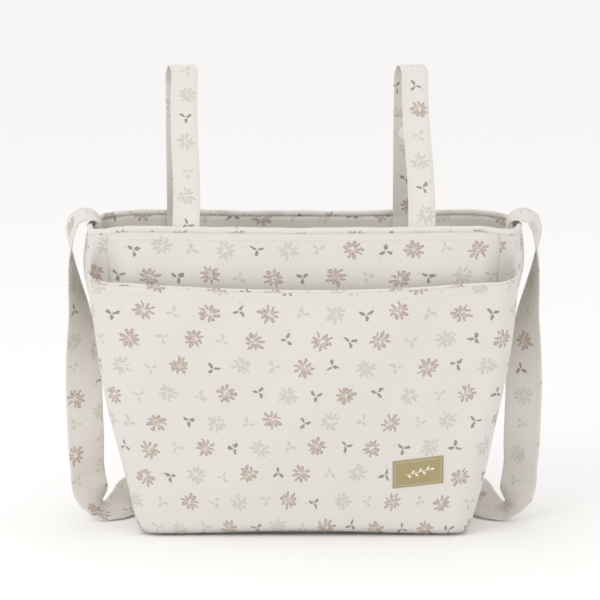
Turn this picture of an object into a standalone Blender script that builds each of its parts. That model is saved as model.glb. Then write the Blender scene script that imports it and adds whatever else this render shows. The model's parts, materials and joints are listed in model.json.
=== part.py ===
"""Fabric diaper bag: a tapered tote with a front pocket, two snap loops for a pram handle
and one long shoulder strap.  Metres, +Z up, front towards -Y, origin on the floor below the
middle of the bag.  Every sewn piece is its own closed solid with a small gap to its neighbours."""

from math import asin, atan2, cos, hypot, pi, radians, sin

import bmesh
import bpy
from mathutils import Matrix, Vector

# ---- driving dimensions ------------------------------------------------------------------
GAP = 0.0003                # clearance between pieces that touch
LAYER_GAP = 0.0008          # clearance between two curved layers of cloth
SEAM_GAP = 0.0004           # clearance between two panels that are sewn edge to edge
SEAM_LEAD = 0.0020          # flat seam allowance of a gusset beyond its corner

TOP_HALF_WIDTH = 0.2055     # half of the bag's width at the mouth
BASE_HALF_WIDTH = 0.158     # half of the bag's width at the floor
HALF_DEPTH = 0.074          # half of the bag's depth, front to back
WALL_HEIGHT = 0.297         # height of the sewn walls, without the binding
CORNER_RADIUS = 0.018       # radius of the upright corners
BELLY = 0.006               # how far the front and back bulge

PANEL_THICKNESS = 0.0024    # outer fabric with its padding
LINING_THICKNESS = 0.0012
BOARD_THICKNESS = 0.0020    # stiffener under the lining's floor
BINDING_RADIUS = 0.0030     # rolled binding round the mouth

POCKET_THICKNESS = 0.0018
POCKET_SIDE_HEIGHT = 0.260  # height of the front pocket's mouth at the side seams
POCKET_SAG = 0.017          # how far the mouth hangs lower in the middle
POCKET_BOW = 0.016          # how far the mouth stands off the front panel
POCKET_BINDING_RADIUS = 0.0016
POCKET_BINDING_GAP = 0.0007 # pocket's mouth to its binding
INNER_BINDING_GAP = 0.0005

INNER_POCKET_HALF_WIDTH = 0.095
INNER_POCKET_BOTTOM = 0.075
INNER_POCKET_TOP = 0.195
INNER_POCKET_BOW = 0.011

LABEL_WIDTH = 0.0487
LABEL_HEIGHT = 0.0270
LABEL_CENTRE_X = 0.110
LABEL_CENTRE_Z = 0.0640
LABEL_SLOPE = 0.135         # rise of the label over its run
LABEL_THICKNESS = 0.0010
TAG_LENGTH = 0.028
TAG_WIDTH = 0.008
TAG_BOTTOM = 0.0945
TAG_THICKNESS = 0.0009
TAG_SETBACK = 0.002         # from the gusset's corner to the tag

STRAP_THICKNESS = 0.0016
LOOP_STRAP_WIDTH = 0.026
LOOP_CENTRE_X = 0.113       # distance of each pram loop from the middle of the bag
LOOP_LEG_SHIFT = -0.004     # both loops lean this far to the left up their front leg
LOOP_BACK_SHIFT = -0.011    # and this far at their tail and back strap
LOOP_HEIGHT = 0.151         # top of the loops above the walls
LOOP_TOP_RADIUS = 0.013     # bend over the pram handle
BACK_STRAP_LENGTH = 0.102   # free length of the short back strap
BACK_STRAP_LEAN = radians(8.8)
SNAP_DISTANCE = 0.0850      # from the back strap's fold line to the snap
TAIL_OVERLAP = 0.0200       # how far the tail runs on below the snap
SEWN_END = 0.026            # part of a strap that is stitched to the lining
FOLD_GAP = 0.0024           # free cloth at a fold line, shared by its two sides

SNAP_RADIUS = 0.0080
SNAP_BACK_RADIUS = 0.0062
SNAP_CAP_HEIGHT = 0.0018
SOCKET_RADIUS = 0.0056
SOCKET_BORE = 0.0024
SOCKET_HEIGHT = 0.0020
STUD_BASE = 0.0008
KNOB_CLEARANCE = 0.0006
KNOB_LENGTH = 0.0014

SHOULDER_WIDTH = 0.036
ANCHOR_ARCH_RADIUS = 0.0134 # bend of the shoulder strap over the binding
ANCHOR_DROP = 0.006         # how far the anchor's outer end hangs below the walls' top
STRAP_MIDDLE_SHARE = 0.32   # last bend of the strap behind the bag, as a share of the base

SKIN = PANEL_THICKNESS + LAYER_GAP                    # outer face to the lining
INNER_FACE = SKIN + LINING_THICKNESS                  # outer face to the inside of the lining
WALL_BASE = PANEL_THICKNESS + GAP                     # the walls stand on the bottom panel
BINDING_INSET = PANEL_THICKNESS / 2 + LAYER_GAP       # outer face to the binding's centre
STRAP_INSET = BINDING_INSET + BINDING_RADIUS + GAP + STRAP_THICKNESS / 2
FOLD_HEIGHT = WALL_HEIGHT - 0.0015                    # fold lines of the back straps
RIM_Z = WALL_HEIGHT + GAP + BINDING_RADIUS            # centre of the binding round the mouth
CORNER_SHARE = 0.25                                   # part of a gusset that is one corner
GUSSET_COLUMNS = 12                                   # faces round a gusset, without its seams
POCKET_CORNER_SHARE = 0.15                            # part of the pocket that is one corner

FABRIC = (0.82, 0.78, 0.73)
SIDES = (("left", -1.0), ("right", 1.0))


# ---- helpers -----------------------------------------------------------------------------
def clear_scene():
    for obj in list(bpy.data.objects):
        bpy.data.objects.remove(obj, do_unlink=True)


def finish(obj, name, colour, roughness=0.9, metallic=0.0, pivot=None):
    """Name the object, give it its own material and hang it on its pivot."""
    obj.name = name
    obj.data.name = name
    material = bpy.data.materials.new(name)
    material.use_nodes = True
    shader = material.node_tree.nodes["Principled BSDF"]
    shader.inputs["Base Color"].default_value = (*colour, 1.0)
    shader.inputs["Roughness"].default_value = roughness
    shader.inputs["Metallic"].default_value = metallic
    obj.data.materials.clear()
    obj.data.materials.append(material)
    for collection in list(obj.users_collection):
        collection.objects.unlink(obj)
    bag.objects.link(obj)
    if pivot is not None:
        obj.parent = pivot
        obj.matrix_parent_inverse = Matrix.Translation(-Vector(pivot.location))
    return obj


def make_pivot(name, y, z):
    """Empty on a hinge line that runs along X."""
    empty = bpy.data.objects.new(name, None)
    empty.location = (0.0, y, z)
    bag.objects.link(empty)
    return empty


def sheet(name, columns, rows, shape, thickness, colour=FABRIC, offset=0.0, pivot=None, wrap=False):
    """Closed thin solid: a flat grid bent by shape(u, v), both from 0 to 1, and thickened."""
    bpy.ops.mesh.primitive_grid_add(x_subdivisions=columns, y_subdivisions=rows, size=1.0)
    obj = bpy.context.object
    for vertex in obj.data.vertices:
        vertex.co = shape(vertex.co.x + 0.5, vertex.co.y + 0.5)
    if wrap:
        mesh = bmesh.new()
        mesh.from_mesh(obj.data)
        bmesh.ops.remove_doubles(mesh, verts=mesh.verts, dist=1e-5)
        mesh.to_mesh(obj.data)
        mesh.free()
    solid = obj.modifiers.new("Thickness", "SOLIDIFY")
    solid.thickness = thickness
    solid.offset = offset
    solid.use_even_offset = True
    return finish(obj, name, colour, pivot=pivot)


def spline(name, points, cyclic):
    curve = bpy.data.curves.new(name, "CURVE")
    line = curve.splines.new("POLY")
    line.points.add(len(points) - 1)
    for target, point in zip(line.points, points):
        target.co = (*point, 1.0)
    line.use_cyclic_u = cyclic
    obj = bpy.data.objects.new(name, curve)
    bag.objects.link(obj)
    return obj


def tube(name, points, radius, cyclic=False, colour=FABRIC):
    """Round cord of fabric along a list of points."""
    obj = spline(name, points, cyclic)
    obj.data.dimensions = "3D"
    obj.data.bevel_depth = radius
    obj.data.bevel_resolution = 2
    obj.data.use_fill_caps = not cyclic
    return finish(obj, name, colour)


def plate(name, bottom, thickness, inset, colour):
    """Flat plate with the bag's outline at the floor, pulled in by inset."""
    outline = [ring_point(step / 48, 0.0, inset) for step in range(48)]
    obj = spline(name, [(x, y, 0.0) for x, y, _ in outline], True)
    obj.data.dimensions = "2D"
    obj.data.fill_mode = "BOTH"
    obj.data.extrude = thickness / 2
    obj.location = (0.0, 0.0, bottom + thickness / 2)
    return finish(obj, name, colour)


def turned(name, profile, closed, centre, tilt, pivot, colour, metallic=0.0):
    """Turned piece: a profile of (radius, height) spun about its own axis, then tilted about X."""
    mesh = bpy.data.meshes.new(name)
    count = len(profile)
    edges = [(step, step + 1) for step in range(count - 1)]
    if closed:
        edges.append((count - 1, 0))
    mesh.from_pydata([(radius, 0.0, height) for radius, height in profile], edges, [])
    obj = bpy.data.objects.new(name, mesh)
    bag.objects.link(obj)
    obj.location = centre
    obj.rotation_euler = (tilt, 0.0, 0.0)
    screw = obj.modifiers.new("Turn", "SCREW")
    screw.steps = 20
    screw.render_steps = 20
    screw.use_merge_vertices = True
    screw.merge_threshold = 0.00005
    return finish(obj, name, colour, roughness=0.35, metallic=metallic, pivot=pivot)


# ---- the bag's outline -------------------------------------------------------------------
def half_width(z):
    """Half width at a height: it grows along a quarter sine from the floor to the mouth."""
    share = min(max(z / WALL_HEIGHT, 0.0), 1.0)
    return BASE_HALF_WIDTH + (TOP_HALF_WIDTH - BASE_HALF_WIDTH) * sin(pi / 2 * share)


def belly(f, z):
    """Bulge of the front or back at the share f of its width."""
    share = min(max(z / WALL_HEIGHT, 0.0), 1.0)
    return BELLY * sin(pi * min(max(f, 0.0), 1.0)) ** 2 * sin(pi * share)


def front_point(f, z, inset):
    reach = half_width(z) - CORNER_RADIUS
    return Vector((reach * (2 * f - 1), -(HALF_DEPTH - inset + belly(f, z)), z))


def corner_point(angle, z, inset):
    """Front right corner: angle 0 at the front panel's edge, a quarter turn at the gusset."""
    radius = CORNER_RADIUS - inset
    return Vector((half_width(z) - CORNER_RADIUS + radius * sin(angle),
                   -(HALF_DEPTH - CORNER_RADIUS) - radius * cos(angle), z))


def gusset_point(f, z, inset):
    """Right gusset with both of its corners, f from the front seam to the back seam."""
    if f <= CORNER_SHARE:
        return corner_point(pi / 2 * f / CORNER_SHARE, z, inset)
    if f >= 1 - CORNER_SHARE:
        point = corner_point(pi / 2 * (1 - f) / CORNER_SHARE, z, inset)
        return Vector((point.x, -point.y, z))
    flat = (HALF_DEPTH - CORNER_RADIUS) * (2 * (f - CORNER_SHARE) / (1 - 2 * CORNER_SHARE) - 1)
    return Vector((half_width(z) - inset, flat, z))


def half_turn(point):
    return Vector((-point.x, -point.y, point.z))


def ring_point(t, z, inset):
    """Whole outline, t from 0 to 1: front, right gusset, back, left gusset."""
    side = int(t * 4) % 4
    f = t * 4 - int(t * 4)
    if side == 0:
        return front_point(f, z, inset)
    if side == 1:
        return gusset_point(f, z, inset)
    if side == 2:
        return half_turn(front_point(f, z, inset))
    return half_turn(gusset_point(f, z, inset))


def height_at(v, low, high):
    return low + (high - low) * v


def smooth_path(stations, t):
    """Catmull-Rom curve through the stations, t from 0 to 1."""
    place = min(max(t, 0.0), 1.0) * (len(stations) - 1)
    index = min(int(place), len(stations) - 2)
    share = place - index
    before = stations[max(index - 1, 0)]
    start = stations[index]
    end = stations[index + 1]
    after = stations[min(index + 2, len(stations) - 1)]
    values = []
    for a, b, c, d in zip(before, start, end, after):
        values.append(0.5 * (2 * b + (c - a) * share + (2 * a - 5 * b + 4 * c - d) * share ** 2
                             + (3 * b - a - 3 * c + d) * share ** 3))
    return values


# ---- shell, lining and base --------------------------------------------------------------
def make_shell():
    def front(u, v):
        z = height_at(v, WALL_BASE, WALL_HEIGHT)
        point = front_point(u, z, 0.0)
        reach = half_width(z) - CORNER_RADIUS
        point.x *= (reach - SEAM_LEAD - SEAM_GAP) / reach
        return point

    def gusset(u, v):
        z = height_at(v, WALL_BASE, WALL_HEIGHT)
        step = u * (GUSSET_COLUMNS + 2)
        point = gusset_point(min(max((step - 1) / GUSSET_COLUMNS, 0.0), 1.0), z, 0.0)
        if step < 0.5 or step > GUSSET_COLUMNS + 1.5:
            point.x -= SEAM_LEAD
        return point

    sheet("front_panel", 14, 10, front, PANEL_THICKNESS, offset=-1.0)
    sheet("back_panel", 14, 10, lambda u, v: half_turn(front(u, v)), PANEL_THICKNESS, offset=-1.0)
    columns = GUSSET_COLUMNS + 2
    sheet("right_gusset", columns, 10, gusset, PANEL_THICKNESS, offset=-1.0)
    sheet("left_gusset", columns, 10, lambda u, v: half_turn(gusset(u, v)), PANEL_THICKNESS,
          offset=-1.0)
    plate("bottom_panel", 0.0, PANEL_THICKNESS, 0.0, FABRIC)


def make_lining():
    def wall(u, v):
        return ring_point(u, height_at(v, WALL_BASE, WALL_HEIGHT), SKIN)

    floor_inset = INNER_FACE + LAYER_GAP
    board_base = WALL_BASE
    plate("base_board", board_base, BOARD_THICKNESS, floor_inset, (0.35, 0.33, 0.31))
    plate("lining_floor", board_base + BOARD_THICKNESS + GAP, LINING_THICKNESS, floor_inset,
          (0.80, 0.77, 0.72))
    sheet("lining_wall", 48, 8, wall, LINING_THICKNESS, (0.80, 0.77, 0.72), offset=-1.0, wrap=True)


def make_rim_binding():
    path = [ring_point(step / 48, WALL_HEIGHT, BINDING_INSET) for step in range(48)]
    tube("rim_binding", [(x, y, RIM_Z) for x, y, _ in path], BINDING_RADIUS, cyclic=True)


# ---- pockets -----------------------------------------------------------------------------
def pocket_top(f):
    return POCKET_SIDE_HEIGHT - POCKET_SAG * sin(pi * f) ** 0.6


def pocket_point(f, z, lift):
    """Outer face of the front pocket: round the left corner, over the front, round the right."""
    inset = -(LAYER_GAP + POCKET_THICKNESS + lift)
    if f < POCKET_CORNER_SHARE:
        point = corner_point(pi / 2 * (1 - f / POCKET_CORNER_SHARE), z, inset)
        point.x = -point.x
    elif f > 1 - POCKET_CORNER_SHARE:
        point = corner_point(pi / 2 * (1 - (1 - f) / POCKET_CORNER_SHARE), z, inset)
    else:
        across = (f - POCKET_CORNER_SHARE) / (1 - 2 * POCKET_CORNER_SHARE)
        point = front_point(across, z, inset)
    stand_off = min(max((z - WALL_BASE) / (POCKET_SIDE_HEIGHT - WALL_BASE), 0.0), 1.0) ** 1.6
    point.y -= POCKET_BOW * stand_off * sin(pi * f) ** 0.7
    return point


def make_front_pocket():
    def face(u, v):
        return pocket_point(u, height_at(v, WALL_BASE, pocket_top(u)), 0.0)

    sheet("front_pocket", 20, 8, face, POCKET_THICKNESS, offset=-1.0)
    path = []
    for step in range(21):
        f = step / 20
        point = pocket_point(f, pocket_top(f), -POCKET_THICKNESS / 2)
        point.z += POCKET_BINDING_GAP + POCKET_BINDING_RADIUS
        path.append(point)
    tube("pocket_binding", path, POCKET_BINDING_RADIUS)


def inner_pocket_point(f, z, lift):
    """Slip pocket on the back lining, bowed towards the middle of the bag."""
    x = INNER_POCKET_HALF_WIDTH * (2 * f - 1)
    wall = half_width(z) - CORNER_RADIUS
    rise = (z - INNER_POCKET_BOTTOM) / (INNER_POCKET_TOP - INNER_POCKET_BOTTOM)
    bow = INNER_POCKET_BOW * min(max(rise, 0.0), 1.0) * sin(pi * f) ** 0.7
    lining = HALF_DEPTH - INNER_FACE + belly((x / wall + 1) / 2, z)
    return Vector((x, lining - LAYER_GAP - LINING_THICKNESS - lift - bow, z))


def make_inner_pocket():
    def face(u, v):
        return inner_pocket_point(u, height_at(v, INNER_POCKET_BOTTOM, INNER_POCKET_TOP), 0.0)

    sheet("inner_pocket", 12, 6, face, LINING_THICKNESS, (0.80, 0.77, 0.72), offset=-1.0)
    path = []
    for step in range(13):
        point = inner_pocket_point(step / 12, INNER_POCKET_TOP, -LINING_THICKNESS / 2)
        point.y -= POCKET_BINDING_RADIUS - LINING_THICKNESS / 2
        point.z += INNER_BINDING_GAP + POCKET_BINDING_RADIUS
        path.append(point)
    tube("inner_pocket_binding", path, POCKET_BINDING_RADIUS, colour=(0.80, 0.77, 0.72))


# ---- label and tag -----------------------------------------------------------------------
def pocket_share(x, z):
    """Share of the pocket's width at a place on its front."""
    across = (x / (half_width(z) - CORNER_RADIUS) + 1) / 2
    return POCKET_CORNER_SHARE + across * (1 - 2 * POCKET_CORNER_SHARE)


def make_label_and_tag():
    def label(u, v):
        x = LABEL_CENTRE_X + LABEL_WIDTH * (u - 0.5)
        z = LABEL_CENTRE_Z + LABEL_HEIGHT * (v - 0.5) + LABEL_SLOPE * (x - LABEL_CENTRE_X)
        return pocket_point(pocket_share(x, z), z, GAP * 2 + LABEL_THICKNESS)

    def tag(u, v):
        z = TAG_BOTTOM + TAG_LENGTH * v
        y = -(HALF_DEPTH - CORNER_RADIUS) + TAG_SETBACK + TAG_WIDTH * u
        return Vector((half_width(z) + GAP + TAG_THICKNESS, y, z))

    sheet("front_label", 4, 3, label, LABEL_THICKNESS, (0.46, 0.39, 0.20), offset=-1.0)
    sheet("side_tag", 1, 4, tag, TAG_THICKNESS, (0.27, 0.27, 0.26), offset=-1.0)


# ---- pram loops --------------------------------------------------------------------------
STRAP_Y = HALF_DEPTH - STRAP_INSET
SOCKET_SIDE = STRAP_THICKNESS / 2 + GAP + SOCKET_HEIGHT
TAIL_OFFSET = SOCKET_SIDE + GAP + STUD_BASE + GAP + STRAP_THICKNESS / 2
LEAN_ALONG = Vector((0.0, -sin(BACK_STRAP_LEAN), cos(BACK_STRAP_LEAN)))
LEAN_OUT = Vector((0.0, cos(BACK_STRAP_LEAN), sin(BACK_STRAP_LEAN)))
FOLD_POINT = Vector((LOOP_BACK_SHIFT, STRAP_Y, FOLD_HEIGHT))
SNAP_POINT = FOLD_POINT + LEAN_ALONG * SNAP_DISTANCE


def loop_centre():
    """Middle of the bend over the handle: it touches the tail's line at the loop's height."""
    z = WALL_HEIGHT + LOOP_HEIGHT - LOOP_TOP_RADIUS
    tail = FOLD_POINT + LEAN_OUT * (TAIL_OFFSET - LOOP_TOP_RADIUS)
    along = (z - tail.z) / LEAN_ALONG.z
    centre = tail + LEAN_ALONG * along
    return Vector((0.0, centre.y, centre.z))


def front_leg_angle(centre):
    """Slope of the front leg, from the front wall to its touching point on the bend."""
    reach = Vector((0.0, centre.y + STRAP_Y, centre.z - WALL_HEIGHT))
    return atan2(reach.z, reach.y) + asin(LOOP_TOP_RADIUS / hypot(reach.y, reach.z))


LOOP_CENTRE = loop_centre()
LEG_ANGLE = front_leg_angle(LOOP_CENTRE)
LOOP_TOP = LOOP_CENTRE + Vector((0.0, 0.0, LOOP_TOP_RADIUS))
HALF_FOLD_ANGLE = FOLD_GAP / 2 / LOOP_TOP_RADIUS


def bend_point(angle):
    """Point of the bend; it moves over to the left as it runs from the leg to the tail."""
    first = pi / 2 + LEG_ANGLE
    share = (first - angle) / (first - BACK_STRAP_LEAN)
    shift = LOOP_LEG_SHIFT + (LOOP_BACK_SHIFT - LOOP_LEG_SHIFT) * share
    bend = Vector((0.0, cos(angle), sin(angle))) * LOOP_TOP_RADIUS
    return LOOP_CENTRE + bend + Vector((shift, 0.0, 0.0))


def strip(name, side, path, width, pivot=None):
    """Flat strap across X, along a list of points in the plane of the loop."""
    def face(u, v):
        point = path[round(u * (len(path) - 1))]
        middle = side * LOOP_CENTRE_X + point.x
        return Vector((middle + width * (v - 0.5), point.y, point.z))
    return sheet(name, len(path) - 1, 2, face, STRAP_THICKNESS, pivot=pivot)


def make_loop(label, side):
    foot = Vector((0.0, -STRAP_Y, WALL_HEIGHT))
    bend = [bend_point(pi / 2 + LEG_ANGLE + (HALF_FOLD_ANGLE - LEG_ANGLE) * step / 6)
            for step in range(7)]
    leg = [foot + (bend[0] - foot) * step / 5 for step in range(5)]
    strip(label + "_loop_strap", side, [foot - Vector((0, 0, SEWN_END))] + leg + bend,
          LOOP_STRAP_WIDTH)

    tail_pivot = make_pivot(label + "_tail_pivot", LOOP_TOP.y, LOOP_TOP.z)
    start = pi / 2 - HALF_FOLD_ANGLE
    bend = [bend_point(start + (BACK_STRAP_LEAN - start) * step / 6) for step in range(7)]
    tail_end = SNAP_POINT + LEAN_OUT * TAIL_OFFSET - LEAN_ALONG * TAIL_OVERLAP
    tail = [bend[-1] + (tail_end - bend[-1]) * step / 4 for step in range(1, 5)]
    strip(label + "_loop_tail", side, bend + tail, LOOP_STRAP_WIDTH, tail_pivot)

    fold_pivot = make_pivot(label + "_fold_pivot", FOLD_POINT.y, FOLD_POINT.z)
    free = [FOLD_POINT + LEAN_ALONG * (FOLD_GAP / 2 + (BACK_STRAP_LENGTH - FOLD_GAP / 2) * step / 5)
            for step in range(6)]
    strip(label + "_back_strap", side, free, LOOP_STRAP_WIDTH, fold_pivot)
    sewn = [FOLD_POINT - Vector((0, 0, SEWN_END)), FOLD_POINT - Vector((0, 0, FOLD_GAP / 2))]
    strip(label + "_back_strap_end", side, sewn, LOOP_STRAP_WIDTH)
    make_snap(label, side, fold_pivot, tail_pivot)


def make_snap(label, side, fold_pivot, tail_pivot):
    white = (0.86, 0.85, 0.81)
    steel = (0.60, 0.60, 0.60)
    outward = BACK_STRAP_LEAN - pi / 2
    inward = BACK_STRAP_LEAN + pi / 2
    middle = SNAP_POINT + Vector((side * LOOP_CENTRE_X, 0.0, 0.0))
    face = STRAP_THICKNESS / 2 + GAP

    def dome(radius):
        return [(0.0, SNAP_CAP_HEIGHT), (0.6 * radius, 0.93 * SNAP_CAP_HEIGHT),
                (0.9 * radius, 0.62 * SNAP_CAP_HEIGHT), (radius, 0.20 * SNAP_CAP_HEIGHT),
                (radius, 0.0), (0.0, 0.0)]

    turned(label + "_snap_cap", dome(SNAP_RADIUS), False, middle - LEAN_OUT * face,
           inward, fold_pivot, white)
    ring = [(SOCKET_BORE, SOCKET_HEIGHT), (SOCKET_RADIUS, SOCKET_HEIGHT), (SOCKET_RADIUS, 0.0),
            (SOCKET_BORE, 0.0)]
    turned(label + "_snap_socket", ring, True, middle + LEAN_OUT * face, outward, fold_pivot,
           steel, 1.0)
    knob = SOCKET_BORE - KNOB_CLEARANCE
    height = STUD_BASE + KNOB_LENGTH
    stud = [(0.0, height), (knob, height), (knob, STUD_BASE), (SOCKET_RADIUS, STUD_BASE),
            (SOCKET_RADIUS, 0.0), (0.0, 0.0)]
    turned(label + "_snap_stud", stud, False, middle + LEAN_OUT * (TAIL_OFFSET - face), inward,
           tail_pivot, steel, 1.0)
    turned(label + "_snap_back_cap", dome(SNAP_BACK_RADIUS), False,
           middle + LEAN_OUT * (TAIL_OFFSET + face), outward, tail_pivot, white)


# ---- shoulder strap ----------------------------------------------------------------------
ANCHOR_INNER_X = TOP_HALF_WIDTH - STRAP_INSET
ANCHOR_OUTER_X = ANCHOR_INNER_X + 2 * ANCHOR_ARCH_RADIUS
HANG_X = ANCHOR_OUTER_X + STRAP_THICKNESS + 2 * GAP


def strap_stations():
    """Left half of the strap, top to middle: centre x, y, z, twist and edge turn in degrees."""
    hang = HANG_X
    base = BASE_HALF_WIDTH
    back = HALF_DEPTH
    top = WALL_HEIGHT
    return [
        (-hang, 0.0, top + 0.006, 0, 0),
        (-hang + 0.0005, 0.0, top - 0.035, 4, 0),
        (-hang + 0.0080, 0.0, top - 0.090, 32, 0),
        (-hang + 0.0105, 0.0, top - 0.130, 60, 0),
        (-hang + 0.0115, 0.0, top - 0.172, 82, 0),
        (-hang + 0.0125, 0.001, top - 0.208, 84, 0),
        (-hang + 0.0137, 0.001, top - 0.241, 64, 0),
        (-hang + 0.0169, 0.004, 0.0290, 70, 16),
        (-hang + 0.0274, 0.007, 0.0100, -4, 25),
        (-hang + 0.0414, 0.017, 0.0076, -49, 16),
        (-hang + 0.0505, 0.042, 0.0105, -74, 28),
        (-hang + 0.0564, 0.074, 0.0138, -68, 42),
        (-base + 0.0080, back + 0.0230, 0.0176, -33, 62),
        (-base + 0.0400, back + 0.0335, 0.0188, -15, 75),
        (-base + 0.0780, back + 0.0355, 0.0190, -5, 84),
        (-base * STRAP_MIDDLE_SHARE, back + 0.0365, 0.0190, 0, 88),
        (0.0, back + 0.0370, 0.0190, 0, 90),
    ]


def make_shoulder_strap():
    left = strap_stations()
    right = [(-x, y, z, twist, edge) for x, y, z, twist, edge in reversed(left[:-1])]
    stations = left + right
    pivot = make_pivot("shoulder_strap_pivot", 0.0, WALL_HEIGHT)

    def face(u, v):
        x, y, z, twist, edge = smooth_path(stations, u)
        side = 1.0 if x < 0 else -1.0
        twist = radians(twist)
        edge = radians(edge)
        across = Vector((side * sin(twist) * cos(edge), cos(twist) * cos(edge), sin(edge)))
        return Vector((x, y, z)) + across * SHOULDER_WIDTH * (v - 0.5)

    sheet("shoulder_strap", 96, 2, face, STRAP_THICKNESS, pivot=pivot)


def make_anchor(label, side):
    """Sewn root of the shoulder strap: up the inside of the gusset, over the binding and out."""
    middle = (ANCHOR_INNER_X + ANCHOR_OUTER_X) / 2
    foot = WALL_HEIGHT - SEWN_END
    path = [(half_width(foot) - STRAP_INSET, foot)]
    for step in range(13):
        angle = pi * (1 - step / 12)
        path.append((middle + ANCHOR_ARCH_RADIUS * cos(angle),
                     RIM_Z + ANCHOR_ARCH_RADIUS * sin(angle)))
    path.append((ANCHOR_OUTER_X, WALL_HEIGHT - ANCHOR_DROP))

    def face(u, v):
        x, z = path[round(u * (len(path) - 1))]
        return Vector((side * x, SHOULDER_WIDTH * (v - 0.5), z))

    sheet(label + "_strap_anchor", len(path) - 1, 1, face, STRAP_THICKNESS)


clear_scene()
bag = bpy.data.collections.new("diaper_bag")
bpy.context.scene.collection.children.link(bag)
make_shell()
make_lining()
make_rim_binding()
make_front_pocket()
make_inner_pocket()
make_label_and_tag()
for side_name, side_sign in SIDES:
    make_loop(side_name, side_sign)
    make_anchor(side_name, side_sign)
make_shoulder_strap()
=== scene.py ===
"""Fabric diaper bag: tapered tote, front pocket, two snap loops for a pram handle, shoulder strap.

Every cloth piece is a surface worked out with numpy over a grid of two parameters, or a flat
section carried along a path.  Metres, +Z up, front towards -Y.
"""

import json

import bmesh
import bpy
import numpy as np
from bpy.props import FloatProperty, FloatVectorProperty, PointerProperty
from bpy.types import Operator, Panel, PropertyGroup
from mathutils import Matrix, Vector


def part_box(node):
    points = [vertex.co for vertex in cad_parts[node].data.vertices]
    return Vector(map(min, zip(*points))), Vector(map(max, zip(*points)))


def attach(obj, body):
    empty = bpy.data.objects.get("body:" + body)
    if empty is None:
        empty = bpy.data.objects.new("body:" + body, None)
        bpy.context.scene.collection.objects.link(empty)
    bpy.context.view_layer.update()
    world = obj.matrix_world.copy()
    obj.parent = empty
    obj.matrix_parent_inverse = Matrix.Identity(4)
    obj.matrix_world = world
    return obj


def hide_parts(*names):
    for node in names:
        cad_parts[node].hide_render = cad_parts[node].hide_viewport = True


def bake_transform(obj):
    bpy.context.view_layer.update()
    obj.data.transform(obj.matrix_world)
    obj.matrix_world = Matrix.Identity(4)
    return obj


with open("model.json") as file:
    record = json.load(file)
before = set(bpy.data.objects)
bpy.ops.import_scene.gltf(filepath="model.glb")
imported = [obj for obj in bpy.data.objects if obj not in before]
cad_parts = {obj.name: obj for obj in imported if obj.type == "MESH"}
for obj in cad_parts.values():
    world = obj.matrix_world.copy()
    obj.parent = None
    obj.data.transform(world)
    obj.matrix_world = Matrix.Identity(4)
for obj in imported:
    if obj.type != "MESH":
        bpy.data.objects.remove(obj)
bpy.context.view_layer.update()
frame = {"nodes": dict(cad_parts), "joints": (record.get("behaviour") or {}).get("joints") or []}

bl_info = {
    "name": "Diaper Bag",
    "version": (1, 0, 0),
    "blender": (4, 5, 0),
    "location": "View3D > Sidebar > Diaper Bag",
    "description": "Builds a fabric diaper bag round its packed frame",
    "category": "Object",
}

SIDES = {"left": -1.0, "right": 1.0}
PANEL_WALL = 0.0024        # outer cloth with its padding
STRAP_HALF = 0.0008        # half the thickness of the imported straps
BOTTOM_ROLL = 0.011        # height over which the bottom edge rolls in
CORNER_SHARE = 0.25        # share of a gusset's run that each of its corners takes
DENT_DEPTH = 0.0240        # of the front corners above the pocket
DENT_HEIGHT = 0.256
BULGE_DEPTH = 0.0100       # of the gussets below the strap
BULGE_HEIGHT = 0.262
MIDDLE_DROP = 0.0016       # of the mouth in its middle
CORNER_DROP = 0.0042       # of the mouth at its corners
EDGE_LIFT = 0.0028         # of the bottom edge in its middle
HEM_RADIUS = 0.0031
HEM_STITCH_DROP = 0.0075   # of the stitches below the mouth
FOLD_STITCH_DROP = 0.0090  # of the stitches below the pocket's mouth
ARCH_HALF = 0.0134         # half the distance between the legs of the strap's arch
ARCH_RISE = 0.0098
BEND_RADIUS = 0.013        # of a pram loop over the handle
BEND_SLIP = 0.004          # how far a loop's bend starts to the left of its foot
PRINT_SEEDS = {"printed_cotton": 0.0, "printed_cotton_side": 1.37, "printed_cotton_back": 2.61,
               "printed_cotton_strap": 3.90, "printed_cotton_pocket": 5.23,
               "printed_cotton_lining": 6.11}
STRAP_FINISH = ("printed_cotton_strap", "sewing_thread")


# ---- places that the frame gives ---------------------------------------------------------
def low(node):
    return np.array(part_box(node)[0], float)


def high(node):
    return np.array(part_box(node)[1], float)


def joint_place(name):
    """Point on a joint's axis."""
    return np.array(next(j for j in frame["joints"] if j["name"] == name)["pos_m"], float)


WALL_TOP = high("right_gusset")[2]
WALL_BASE = low("front_panel")[2]
TOP_HALF = high("right_gusset")[0]
BASE_HALF = high("bottom_panel")[0]
HALF_DEPTH = high("right_gusset")[1]
SEAM_X = high("front_panel")[0] + PANEL_WALL
CORNER = TOP_HALF - SEAM_X
BINDING_LOW = low("rim_binding")
BINDING_HIGH = high("rim_binding")
POCKET_TOP_SIDE = high("front_pocket")[2]


# ---- sizes and colours that a user would change --------------------------------------------
def length_value(name, description, default, smallest):
    return FloatProperty(name=name, description=description, default=default, min=smallest,
                         unit="LENGTH")


def colour_value(name, description, default):
    return FloatVectorProperty(name=name, description=description, default=default,
                               subtype="COLOR", min=0.0, max=1.0)


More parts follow.
